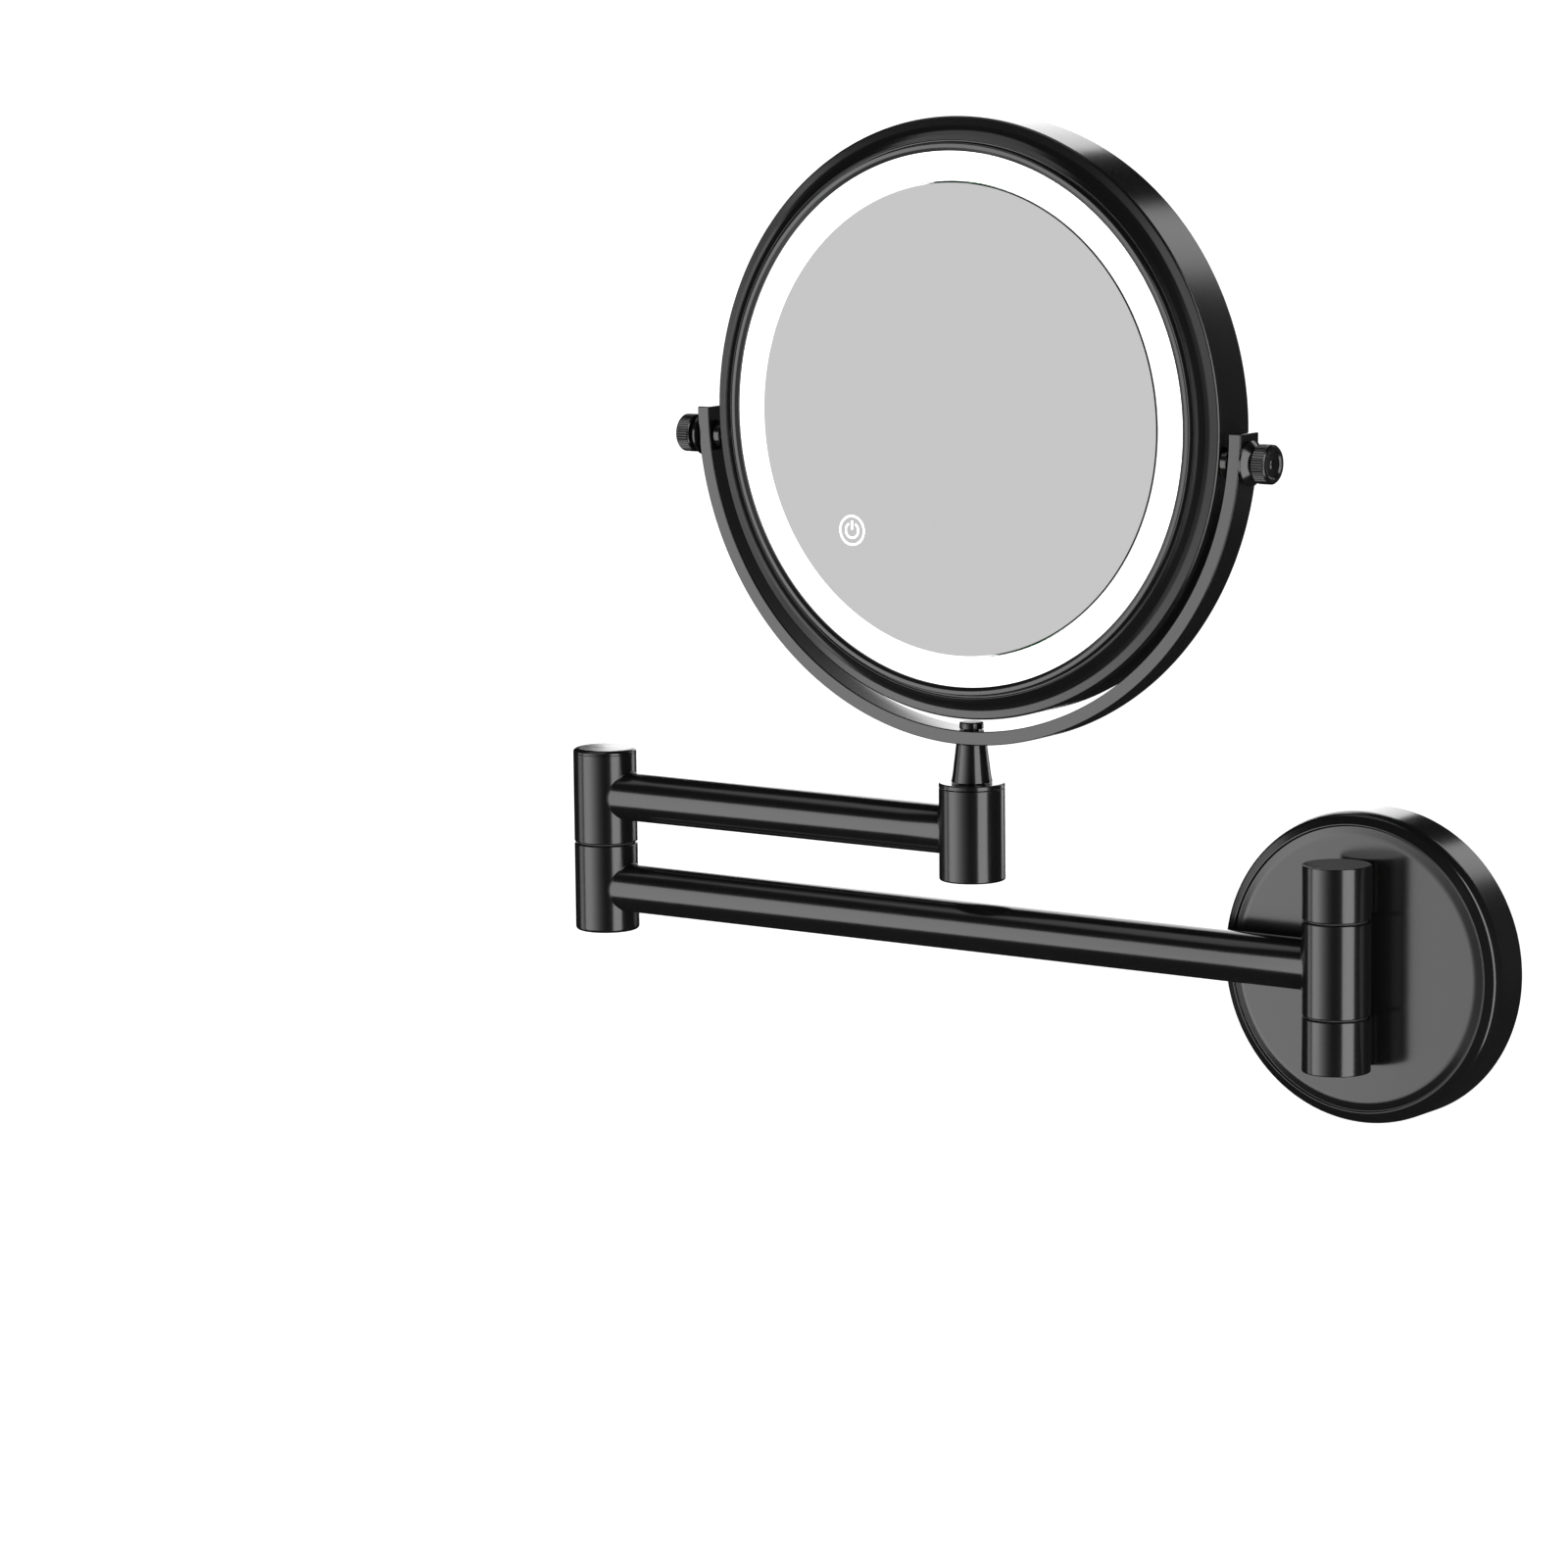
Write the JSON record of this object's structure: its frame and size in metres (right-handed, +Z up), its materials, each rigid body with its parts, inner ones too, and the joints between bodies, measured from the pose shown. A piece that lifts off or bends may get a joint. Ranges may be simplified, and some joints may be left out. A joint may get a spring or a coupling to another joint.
{
  "type": "extendable shaving mirror",
  "caption": "Wall-mounted extendable shaving mirror: round wall plate, folding double arm, swivel post, half-round yoke and a round lit magnifying mirror that tilts between knurled knobs.",
  "frame": {"origin": "centre of the back of the round wall plate, on the wall", "axes": "+Y into the wall, so the object stands out along -Y; +X to the right as seen from the room; +Z up"},
  "size_m": [0.3886, 0.0446, 0.3514],
  "materials": {
    "satin_black_metal": "satin black powder coat",
    "black_plastic": "fine-grained matt black",
    "steel": "zinc-plated",
    "cast_metal": "as cast",
    "nylon": "matt",
    "brass": "turned",
    "white_plastic": "moulded, matt",
    "light_diffuser": "opal white, glows when the light is on",
    "mirror_glass": "silvered glass with a white power icon",
    "circuit_board": "solder resist",
    "battery_cell": "printed sleeve"
  },
  "bodies": {
    "wall_unit": {"wall_bracket": "cast_metal", "bracket_screw_upper": "steel", "bracket_screw_lower": "steel", "rosette": "satin_black_metal", "rosette_set_screw": "steel", "hinge_bracket": "satin_black_metal", "wall_hinge_pin": "steel", "wall_pin_plug": "satin_black_metal", "wall_washer_upper": "nylon", "wall_washer_lower": "nylon"},
    "lower_arm": {"lower_arm_hub": "satin_black_metal", "lower_arm_tube": "satin_black_metal", "elbow_lower_barrel": "satin_black_metal", "elbow_pin": "steel", "elbow_lock_nut": "steel", "elbow_washer": "nylon"},
    "upper_arm": {"elbow_upper_barrel": "satin_black_metal", "elbow_cap": "satin_black_metal", "upper_arm_tube": "satin_black_metal", "mirror_barrel": "satin_black_metal"},
    "swivel": {"swivel_washer": "satin_black_metal", "swivel_post": "satin_black_metal", "post_keeper": "steel", "post_keeper_screw": "steel", "yoke": "satin_black_metal", "yoke_cap_nut": "satin_black_metal"},
    "knob_left": {"knob_left": "satin_black_metal", "pivot_stud_left": "steel"},
    "knob_right": {"knob_right": "satin_black_metal", "pivot_stud_right": "steel"},
    "head": {"frame_ring": "satin_black_metal", "mirror_glass": "mirror_glass", "light_diffuser": "light_diffuser", "carrier_tray": "white_plastic", "led_board": "circuit_board", "touch_board": "circuit_board", "battery_box": "black_plastic", "battery_cell_1": "battery_cell", "battery_cell_2": "battery_cell", "battery_cell_3": "battery_cell", "battery_cell_4": "battery_cell", "battery_contact_left": "steel", "battery_contact_right": "steel", "battery_door": "black_plastic", "door_screw": "steel", "rear_cover": "black_plastic", "cover_screw_1": "steel", "cover_screw_2": "steel", "cover_screw_3": "steel", "cover_screw_4": "steel", "pivot_bush_left": "brass", "pivot_bush_right": "brass", "pivot_spacer_left": "satin_black_metal", "pivot_spacer_right": "satin_black_metal"}
  },
  "joints": [
    {"name": "wall_hinge", "type": "hinge", "parent": "wall_unit", "child": "lower_arm", "pos_m": [0, -0.0325, 0.0026], "axis": [0, 0, 1], "range_deg": [0, 180]},
    {"name": "elbow_hinge", "type": "hinge", "parent": "lower_arm", "child": "upper_arm", "pos_m": [-0.321, -0.0325, 0.0026], "axis": [0, 0, 1], "continuous": true},
    {"name": "mirror_swivel", "type": "hinge", "parent": "upper_arm", "child": "swivel", "pos_m": [-0.153, -0.0325, 0.0026], "axis": [0, 0, 1], "continuous": true},
    {"name": "mirror_tilt", "type": "hinge", "parent": "swivel", "child": "head", "pos_m": [-0.153, -0.0325, 0.1771], "axis": [1, 0, 0], "range_deg": [-115, 145]},
    {"name": "knob_left_turn", "type": "hinge", "parent": "swivel", "child": "knob_left", "pos_m": [-0.153, -0.0325, 0.1771], "axis": [-1, 0, 0], "range_deg": [-180, 180]},
    {"name": "knob_right_turn", "type": "hinge", "parent": "swivel", "child": "knob_right", "pos_m": [-0.153, -0.0325, 0.1771], "axis": [1, 0, 0], "range_deg": [-180, 180]}
  ]
}
